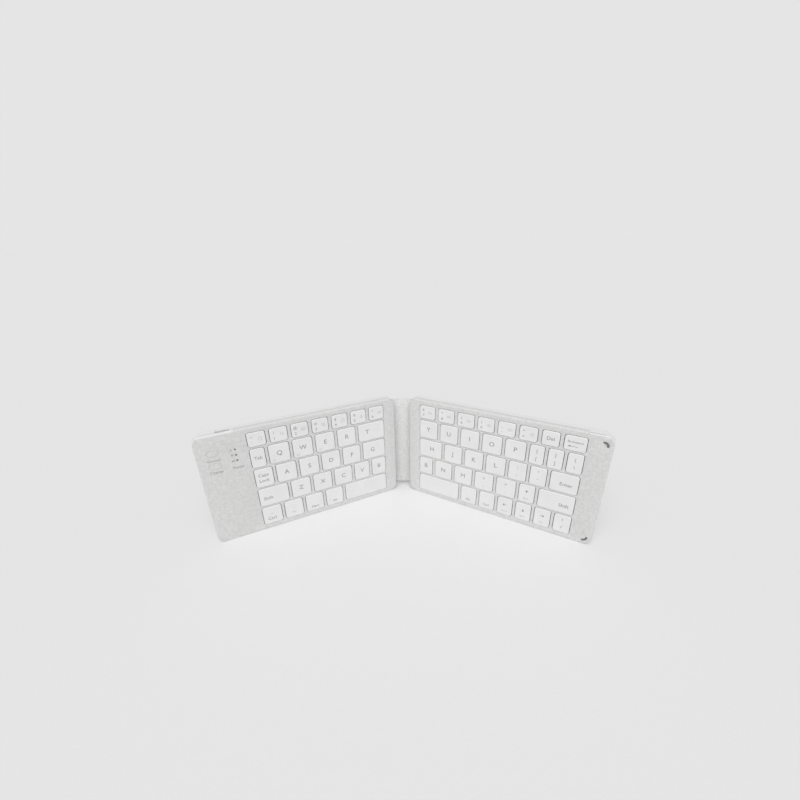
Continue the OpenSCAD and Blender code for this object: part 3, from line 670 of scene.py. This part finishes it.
def outlineOf(name, drop=False):
    # the outline of a half with points at the ends of the wrapped skin and of the port's mouth;
    # after it come, for each point, whether the skin wraps the wall there, and the port's reach
    corner, width, depth = half["corner"], half["width"], half["depth"]
    base, outward = roundedLoop(0, width, 0, depth, corner, cornerSteps)
    wrapEnd = width - skin["bareEnd"][name]
    stops = []
    if drop and name == "left":
        reach, high = port["width"] / 2 + port["clear"], port["height"] / 2 + port["clear"]
        gap = levels["parting"] - port["level"]
        last = reach - high + math.sqrt(high ** 2 - gap ** 2)
        du = np.concatenate([np.linspace(last, reach - high, 9), np.linspace(high - reach, -last, 9)])
        over = np.maximum(np.abs(du) - (reach - high), 0)
        tall = np.sqrt(high ** 2 - over ** 2)
        stops += [(portU + last, False, 0)] + [(portU + a, False, b) for a, b in zip(du, tall)]
        stops += [(portU - last, False, 0)]
    stops += [(wrapEnd, False, 0), (wrapEnd, True, 0), (corner, True, 0)]
    rear = np.array([(u, depth) for u, _, _ in stops])
    at = 2 * cornerSteps  # after the rear outer corner
    loop = np.concatenate([base[:at], rear, base[at:]])
    outward = np.concatenate([outward[:at], np.repeat([[0.0, 1.0]], len(stops), 0), outward[at:]])
    wraps, mouth = np.zeros(len(loop), bool), np.zeros(len(loop))
    wraps[at:at + len(stops)] = [stop[1] for stop in stops]
    mouth[at:at + len(stops)] = [stop[2] for stop in stops]
    return loop, outward, wraps, mouth


def skinOutline(name):
    # the outline of a face skin, which stops short of the rear edge along the bare end
    loop, outward, wraps, _ = outlineOf(name)
    corner, width, depth = half["corner"], half["width"], half["depth"]
    last = math.asin(1 - skin["bareRim"] / corner)
    turn = np.linspace(0, last, cornerSteps - 2)
    ray = np.stack([np.cos(turn), np.sin(turn)], 1)
    rearCorner = np.array([width - corner, depth - corner]) + corner * ray
    ray[-1] = (ray[-1] + [0, 1]) / (1 + ray[-1, 1])
    end = [[width - skin["bareEnd"][name], bareLine]]
    front, rest = slice(0, cornerSteps), slice(2 * cornerSteps + 1, None)
    loop = np.concatenate([loop[front], rearCorner, end, loop[rest]])
    outward = np.concatenate([outward[front], ray, [[0, 1]], outward[rest]])
    return loop, outward, np.concatenate([wraps[front], np.zeros(len(ray) + 1, bool), wraps[rest]])


def bareRimPart(name):
    # the rim that the upper shell shows beside the skin, rounded down to the rear wall
    corner, width, depth = half["corner"], half["width"], half["depth"]
    turn = np.linspace(math.asin(1 - skin["bareRim"] / corner), math.pi / 2, 9)
    ray = np.stack([np.cos(turn), np.sin(turn)], 1)
    outer = np.array([width - corner, depth - corner]) + corner * ray
    end = width - skin["bareEnd"][name]
    loop = np.vstack([outer, [end, depth], [end, depth], [end, bareLine], [end, bareLine], outer[:1]])
    outward = np.vstack([ray, [0, 1], [-1, 0], [-1, 0], [0, -1], [0, -1]])
    rim = np.clip((loop[:, 1:] - bareLine) * 0.8, 0, levels["skinBack"])
    rim[len(outer) + 1:] = 0
    come, down = quarter(1.0, 6)
    offset = np.concatenate([rim * (come - 1), 0 * rim], 1)
    level = np.concatenate([rim * down, 0 * rim + levels["skinBack"]], 1)
    return [wallPart(loop, outward, offset, level), flatPart([loop - outward * rim], 0.0)]


def column(*values):
    # profile rows that may change from point to point
    return np.stack(np.broadcast_arrays(*[np.asarray(v, float) for v in values]), -1)


def faceSkin(name):
    loop, outward, wraps = skinOutline(name)
    rim = np.where(wraps, skin["wrapRim"], skin["rim"])[:, None]
    come, down = quarter(1.0, 6)
    depth = np.where(wraps, levels["parting"], levels["skinBack"])[:, None]
    edge = np.where(wraps, skin["wrapEdge"], 0.0)[:, None]
    wrap = skin["wrap"]
    offset = np.concatenate([rim * (come - 1), 0 * rim, -edge * 0.3, -edge, 0 * rim - wrap,
                             0 * rim - wrap], 1)
    level = np.concatenate([rim * down, depth - edge, depth - edge * 0.3, depth, depth,
                            0 * depth + levels["skinBack"]], 1)
    parts = [wallPart(loop, outward, offset, level)]
    faceLoops, backLoops = [loop - outward * rim], [loop - outward * wrap]
    small, sink = quarter(skin["windowRim"], 4)
    for hole, holeOut in holeLoops(name):
        parts.append(wallPart(hole, holeOut, np.append(skin["windowRim"] - small, 0),
                              np.append(sink, levels["skinBack"]), inside=True))
        faceLoops.append(hole + holeOut * skin["windowRim"])
        backLoops.append(hole)
    parts += [flatPart(faceLoops, 0.0), flatPart(backLoops, levels["skinBack"])]
    return parts


def topShell(name):
    loop, outward, wraps, mouth = outlineOf(name, drop=True)
    out = np.where(wraps, -skin["wrap"], 0.0)
    end = np.where(mouth > 0, port["level"] - mouth, levels["parting"])
    edge = np.minimum(shell["partingEdge"], end - levels["skinBack"])
    offset = column(out, out, out - edge * 0.3, out - edge, -shell["wall"], -shell["wall"])
    level = column(levels["skinBack"], end - edge, end - edge * 0.3, end, end, levels["webBack"])
    parts = [wallPart(loop, outward, offset, level)] + bareRimPart(name)
    holes = holeLoops(name)
    for hole, holeOut in holes:
        parts.append(wallPart(hole, holeOut, [0, 0], [levels["skinBack"], levels["webBack"]],
                              inside=True))
    holes = [hole for hole, _ in holes]
    parts.append(flatPart([loop + outward * out[:, None]] + holes, levels["skinBack"]))
    parts.append(flatPart([loop - outward * shell["wall"]] + holes, levels["webBack"]))
    return parts


def bottomShell(name):
    loop, outward, _, mouth = outlineOf(name, drop=True)
    start = np.where(mouth > 0, port["level"] + mouth, levels["parting"])
    edge, wall = shell["partingEdge"], shell["lowerWall"]
    offset = column(-wall, -wall + 0 * start, -edge, -edge * 0.3, 0, 0)
    level = column(levels["floorFront"], start, start, start + edge * 0.3, start + edge,
                   levels["floorBack"])
    return [wallPart(loop, outward, offset, level),
            flatPart([loop - outward * wall], levels["floorFront"]),
            flatPart([loop], levels["floorBack"])]


def backSkin():
    # the rounded sheet over the back, cut away where the spine's skin laps over the inner edge
    corner, depth, inset = half["corner"], half["depth"], skin["spineInset"]
    rise = math.asin((corner - inset) / corner)
    cut = corner - math.sqrt(corner ** 2 - (corner - inset) ** 2)
    base, outward = roundedLoop(0, half["width"], 0, depth, corner, cornerSteps)
    turn = np.linspace(math.pi / 2, math.pi - rise, 11)
    ray = np.stack([np.cos(turn), np.sin(turn)], 1)
    rear = np.array([corner, depth - corner]) + corner * ray
    front, frontOut = rear[::-1] * [1, -1] + [0, depth], ray[::-1] * [1, -1]
    seam = np.array([(cut, depth - inset), (skin["backSeam"], depth - inset),
                     (skin["backSeam"], inset), (cut, inset)])
    outer = 2 * cornerSteps
    loop = np.concatenate([base[:outer], rear, seam, front])
    outward = np.concatenate([outward[:outer], ray, 0 * seam, frontOut])
    rim = np.full((len(loop), 1), skin["backRim"])
    rim[outer + len(rear):outer + len(rear) + len(seam)] = 0
    come, down = quarter(1.0, 6)
    offset = np.concatenate([0 * rim, rim * (come[::-1] - 1)], 1)
    level = np.concatenate([0 * rim + levels["floorBack"], levels["back"] - rim * down[::-1]], 1)
    return [wallPart(loop, outward, offset, level), flatPart([loop], levels["floorBack"]),
            flatPart([loop - outward * rim], levels["back"])]


for name, side in sides.items():
    body = name + "_half"
    makePiece(name + "_woven_face", faceSkin(name), onHalf(side), [skinMaterial], body,
              [name + "_face_skin"])
    makePiece(name + "_upper_shell", topShell(name), onHalf(side), [shellMaterial], body,
              [name + "_top_frame"])
    makePiece(name + "_lower_shell", bottomShell(name), onHalf(side), [shellMaterial], body,
              [name + "_back_cover"])
    makePiece(name + "_woven_back", backSkin(), onHalf(side), [skinMaterial], body,
              [name + "_back_skin"])
print("skins and shells made")

# spine

spine = {"thick": 0.6, "bend": 1.0, "faceThick": 0.4, "faceWide": 15.0, "faceLevel": -1.0,
         "edge": 0.18}


def sheetStrip(path, across, thick, v0, v1):
    # a strip of skin: its rounded cross-section, thickness by length, carried along a path
    rim, _ = roundedLoop(-thick / 2, thick / 2, v0, v1, spine["edge"], 4)
    points = path[:, None, :] + across[:, None, :] * rim[None, :, :1]
    points = np.concatenate([points, np.broadcast_to(rim[None, :, 1:], points[..., :1].shape)], -1)
    run = np.append(0, np.cumsum(np.linalg.norm(np.diff(path, axis=0), axis=1)))
    uv = np.stack(np.broadcast_arrays(run[:, None], rim[None, :, 1]), -1)
    n, m = len(rim), len(path)
    faces = [[a + n * b for a, b in quad] for quad in
             [((i, k), ((i + 1) % n, k), ((i + 1) % n, k + 1), (i, k + 1))
              for i in range(n) for k in range(m - 1)]]
    faces += [list(range(n)), list(range(n * (m - 1), n * m))]
    return makePart(points, faces, uv), run[-1]


def spineMapping(side):
    # strip points are x from the middle, y from the fold axes and z, in mm
    return lambda p: np.stack([side * p[:, 0], p[:, 1] + axisY, p[:, 2]], -1) * mm


lowEnd, highEnd = skin["spineInset"], half["depth"] - skin["spineInset"]
foldTurn = math.radians(half["foldDegrees"])
bendRadius = spine["bend"] / math.tan(foldTurn / 2)
turn = np.linspace(0, foldTurn, 13)
bendPath = np.stack([axisX - spine["bend"] + bendRadius * np.sin(turn),
                     -bendRadius * (1 - np.cos(turn))], 1)
reach = skin["backSeam"] + half["axisInset"]
backPath = np.vstack([[0, 0], [axisX / 2, 0], bendPath, [axisX + reach * cosFold, -reach * sinFold]])
backAcross = np.vstack([[0, 1], [0, 1], np.stack([np.sin(turn), np.cos(turn)], 1),
                        [sinFold, cosFold]])
for name, side in sides.items():
    part, long = sheetStrip(backPath, backAcross, spine["thick"], lowEnd, highEnd)
    part["uv"] = part["uv"] * [side, 1]
    piece = makePiece(name + "_spine_back", [part], spineMapping(side), [skinMaterial], None,
                      ["spine_back_skin"])
    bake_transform(piece)

edgeX = np.linspace(-spine["faceWide"] / 2, spine["faceWide"] / 2, 9)
facePath = np.stack([edgeX, np.full(9, spine["faceLevel"])], 1)
part, long = sheetStrip(facePath, np.repeat([[0.0, 1.0]], 9, 0), spine["faceThick"], lowEnd, highEnd)
# the spine's face strip wears the cloth painted paler, which stands in for light
faceStrip = makePiece("spine_woven_face", [part], spineMapping(1), [spinePaintedLightSkin], "spine",
                      ["spine_face_skin"])
print("spine made")

# port, lenses, bumpers and signs


def stadiumLoop(wide, high, steps=12):
    # two half circles joined by straight lines, in u and w
    turn = np.concatenate([np.linspace(-90, 90, steps), np.linspace(90, 270, steps)])
    side = np.repeat([1, -1], steps) * (wide - high) / 2
    ray = np.stack([np.cos(np.radians(turn)), np.sin(np.radians(turn))], 1)
    return np.stack([side, 0 * side], 1) + ray * high / 2, ray


def rearward(part):
    # a part drawn over u and w, with its level along v, stands in the rear wall
    u, w, v = part["points"].T
    part["points"] = np.stack([portU + u, v, port["level"] + w], 1)
    return part


def capFace(loop, level):
    points = np.column_stack([loop, np.full(len(loop), level)])
    return makePart(points, [list(range(len(loop)))], smooth=False)


def boxPart(low, high, edge=0.06):
    # a block with bevelled edges along its longest faces
    loop, outward = roundedLoop(low[0], high[0], low[1], high[1], edge, 3)
    wall = wallPart(loop, outward, [-edge, 0, 0, -edge], [low[2], low[2] + edge, high[2] - edge, high[2]])
    return [wall, capFace(loop - outward * edge, low[2]), capFace(loop - outward * edge, high[2])]


mouth = half["depth"] - port["recess"]
portBack = mouth - port["deep"]
portLoop, portOut = stadiumLoop(port["width"], port["height"])
sheetT, lip = port["sheet"], port["lip"]
portParts = [wallPart(portLoop, portOut,
                      [0, 0, -lip, -sheetT + lip / 2, -sheetT, -sheetT],
                      [portBack, mouth - lip, mouth, mouth, mouth - lip, portBack + sheetT]),
             capFace(portLoop, portBack), capFace(portLoop - portOut * sheetT, portBack + sheetT)]
makePiece("charging_port_shell", [rearward(p) for p in portParts], onHalf(-1), [portMaterial],
          "left_half", ["usb_port"])
wide, thick = tongue["halfWide"], tongue["halfThick"]
tongueParts = boxPart((-wide, -thick, portBack + sheetT), (wide, thick, mouth - tongue["setBack"]),
                      tongue["edge"])
pinParts = []
for k in range(pins["count"]):
    for level in pins["levels"]:
        u, wide = pins["first"] + pins["pitch"] * k, pins["halfWide"]
        pinParts += boxPart((u - wide, level, portBack + pins["start"]),
                            (u + wide, level + pins["thick"], mouth - pins["setBack"]), pins["edge"])
for p in pinParts:
    p["tone"] = 1
pinMaterial = mouldedMaterial("gilt contacts", [0.75, 0.55, 0.25, 1.0], roughness=0.25,
                              Metallic=1.0, cloud=1.0)
makePiece("charging_port_tongue", [rearward(p) for p in tongueParts + pinParts], onHalf(-1),
          [tongueMaterial, pinMaterial], "left_half")

lensParts = []
for v in lens["v"]:
    loop, outward = circleLoop(lens["u"], v, lens["radius"])
    edge = 0.16
    lensParts.append(wallPart(loop, outward, [-lens["radius"], -0.6, -0.3, -edge, -edge * 0.3, 0, 0],
                              [0.02, 0.03, 0.05, 0.08, 0.13, 0.24, 4.3]))
    lensParts.append(capFace(loop, 4.3))
makePiece("indicator_light_guides", lensParts, onHalf(-1), [lensMaterial], "left_half",
          ["indicator_lenses"])


def skinLevel(u, v):
    return np.zeros_like(u)


# what is printed at the outer end of the left half: signs beside the lights, framed marks and words
endPrint = {"signs": [("capital", 74.2, 0.95), ("waves", 69.9, 1.0), ("play", 65.6, 0.8)],
            "signLead": 2.6, "frames": [(134.6, 74.7, 7.0, 4.8), (134.7, 64.9, 8.0, 4.6)],
            "frameCorner": 1.9, "words": [("Connect", 134.4, 69.2, 1.7), ("Charge", 134.6, 59.8, 2.0),
                                          ("Power", 120.4, 60.0, 1.9)], "line": 0.32}
signParts = []
for sign, v, size in endPrint["signs"]:
    for path, closed in signs[sign]:
        signParts.append(stamp(ribbonGlyph(path, endPrint["line"] / size, closed), -1,
                               lens["u"] + endPrint["signLead"], v, size, skinLevel))
for u, v, wide, high in endPrint["frames"]:
    path = roundedLoop(-wide / 2, wide / 2, -high / 2, high / 2, endPrint["frameCorner"])[0]
    signParts.append(stamp(ribbonGlyph(path, endPrint["line"], True), -1, u, v, 1, skinLevel, 1))
for word, u, v, high in endPrint["words"]:
    signParts.append(stamp(glyphOf(word), -1, u, v, high / capital, skinLevel))
makePiece("indicator_signs", signParts, onHalf(-1), [inkMaterial, faintInkMaterial], "left_half")

bumperParts = []
fillet, foot = bumper["fillet"], levels["webBack"]
come, down = quarter(fillet, 6)
insets = [bumper["width"] / 2, 0, *(fillet - come[::-1]), bumper["width"] / 2]
depths = [foot, foot, *(down[::-1] - bumper["proud"]), -bumper["proud"]]
for v, up in bumperPlaces:
    loops = [bumperLoop(v, up, inset)[0] for inset in insets]
    rings = [np.column_stack([loop, np.full(len(loop), depth)]) for loop, depth in zip(loops, depths)]
    bumperParts.append(makePart(np.stack(rings, 1), gridFaces(len(loops[0]), len(rings))))
makePiece("rubber_bumpers", bumperParts, onHalf(1), [bumperMaterial], "right_half",
          ["corner_bumpers"])
print("port, lenses, signs and bumpers made")

# finishes of the inner parts

innerFinishes = {
    "key_plate": mouldedMaterial("rolled plate steel", grey(176), grain=0.25, depth=0.006,
                                 roughness=0.34, stretch=(0.08, 0.08, 1), contrast=0.1, Metallic=1.0),
    "membrane": mouldedMaterial("polyester film", grey(206, -4), roughness=0.22, contrast=0.05,
                                Transmission_Weight=0.3),
    "rubber_domes": mouldedMaterial("milky silicone", grey(226, 2), roughness=0.55,
                                    Subsurface_Weight=0.1),
    "scissor_links": mouldedMaterial("natural acetal", grey(228), roughness=0.4),
    "magnets": mouldedMaterial("nickel plate", grey(190), roughness=0.22, Metallic=1.0, cloud=2.0,
                               contrast=0.08),
    "battery": mouldedMaterial("foil pouch", grey(196), grain=0.5, depth=0.03, roughness=0.38,
                               Metallic=0.85, contrast=0.06),
    "main_board": mouldedMaterial("green circuit board", [0.03, 0.2, 0.09, 1.0], roughness=0.35,
                                  cloud=1.2, contrast=0.4),
    "flex_cable": mouldedMaterial("amber flat cable", [0.55, 0.22, 0.05, 1.0], roughness=0.3,
                                  stretch=(0.05, 1, 1), grain=0.5, contrast=0.25),
    "spine_stiffener": mouldedMaterial("hinge strip plastic", grey(206), roughness=0.5),
}
for nodeName, nodeObject in frame["nodes"].items():
    for ending, material in innerFinishes.items():
        if nodeName.endswith(ending):
            nodeObject.data.materials.clear()
            nodeObject.data.materials.append(material)

# links and domes, parted by key into one piece for each key or bank

pressed = {"scissor_links": {"top": 0.6, "foot": 4.2, "slot": 'link'},
           "rubber_domes": {"top": 1.8, "foot": 4.3, "slot": 'dome'}}  # top and foot are depths


def halfCoordinates(side, points):
    # the opposite of place: metres in the frame back to u, v and w
    x, y, z = points.T / mm
    x, y = side * x - axisX, y - axisY
    return np.stack([cosFold * x - sinFold * y - half["axisInset"], z,
                     sinFold * x + cosFold * y + half["axisDepth"]], -1)


for name, side in sides.items():
    for ending, part in pressed.items():
        mesh = frame["nodes"][name + "_" + ending].data
        points, corners = np.zeros(len(mesh.vertices) * 3), np.zeros(len(mesh.loops), np.int32)
        mesh.vertices.foreach_get("co", points)
        mesh.loops.foreach_get("vertex_index", corners)
        points, triangles = halfCoordinates(side, points.reshape(-1, 3)), corners.reshape(-1, 3)
        middle = points[triangles].mean(1)
        for group in sorted({key["group"] for key in keyPlan[name]}):
            under = np.zeros(len(triangles), bool)
            for key in keyPlan[name]:
                if key["group"] == group:
                    under |= ((abs(middle[:, 0] - key["u"]) < (key["w"] + keys["gap"]) / 2)
                              & (abs(middle[:, 1] - key["v"]) < (key["h"] + keys["rowGap"]) / 2))
                    u, v = key["u"], key["v"]
            used, faces = np.unique(triangles[under], return_inverse=True)
            piece = makePiece(group + "_" + ending, [makePart(points[used], faces.reshape(-1, 3).tolist())],
                              onHalf(side), [innerFinishes[ending]], None,
                              [name + "_" + ending])
            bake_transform(piece)
print("links and domes parted by key")

# floor, light and camera

studio = {"paper": 229, "sky": 0.5, "sunStrength": 1.95, "sunAngle": 60.0,
          "sunFrom": (-0.04, -0.75, 1.0), "floorReach": 40.0}
world = bpy.data.worlds.new("studio")
bpy.context.scene.world = world
world.use_nodes = True
sky = world.node_tree.nodes["Background"]
seen = addNode(world.node_tree, "LightPath")
shown = calc(world.node_tree, "MAXIMUM", seen.outputs["Is Camera Ray"],
             calc(world.node_tree, "MAXIMUM", seen.outputs["Is Glossy Ray"],
                  seen.outputs["Is Transmission Ray"]))
world.node_tree.links.new(
    mixColours(world.node_tree, shown, [studio["sky"]] * 3 + [1.0], grey(studio["paper"])),
    sky.inputs["Color"])

reachM = studio["floorReach"]
floorMesh = bpy.data.meshes.new("floor")
floorMesh.from_pydata([(-reachM, -reachM, 0), (reachM, -reachM, 0), (reachM, reachM, 0),
                       (-reachM, reachM, 0)], [], [(0, 1, 2, 3)])
floor = bpy.data.objects.new("floor", floorMesh)
bpy.context.scene.collection.objects.link(floor)
paper, paperTree, paperShader = newMaterial("pale paper")
fibre = addNode(paperTree, "TexNoise", {"Vector": addNode(paperTree, "TexCoord").outputs["Object"],
                                        "Scale": 900.0, "Detail": 3.0}).outputs["Fac"]
paperTree.links.new(rampTo(paperTree, fibre, grey(studio["paper"] - 1), grey(studio["paper"] + 1)),
                    paperShader.inputs["Base Color"])
paperShader.inputs["Roughness"].default_value = 0.9
paperShader.inputs["Specular IOR Level"].default_value = 0.0
floorMesh.materials.append(paper)

lamp = bpy.data.lights.new("key light", "SUN")
lamp.energy, lamp.angle = studio["sunStrength"], math.radians(studio["sunAngle"])
sun = bpy.data.objects.new("key light", lamp)
sun.rotation_euler = Vector(studio["sunFrom"]).to_track_quat("Z", "Y").to_euler()
bpy.context.scene.collection.objects.link(sun)

view = {"place": (9.1, -236.9, 202.9), "pitch": 23.61, "yaw": -2.22, "roll": -1.33,
        "focalPixels": 362.6, "frame": 800}
pitch, yaw, roll = (math.radians(view[key]) for key in ("pitch", "yaw", "roll"))
forward = Vector((math.sin(yaw) * math.cos(pitch), math.cos(yaw) * math.cos(pitch), -math.sin(pitch)))
level = Vector((math.cos(yaw), -math.sin(yaw), 0))
upright = level.cross(forward)
right = level * math.cos(roll) + upright * math.sin(roll)
upright = upright * math.cos(roll) - level * math.sin(roll)
camera = bpy.data.objects.new("camera", bpy.data.cameras.new("camera"))
camera.data.sensor_width = 36.0
camera.data.lens = view["focalPixels"] * 36.0 / view["frame"]
camera.data.clip_start, camera.data.clip_end = 0.005, 200.0
camera.matrix_world = Matrix.Translation(Vector(view["place"]) * mm) @ Matrix(
    (right, upright, -forward)).transposed().to_4x4()
bpy.context.scene.collection.objects.link(camera)
bpy.context.scene.camera = camera
bpy.context.scene.view_settings.view_transform = "Standard"
print("stage set")
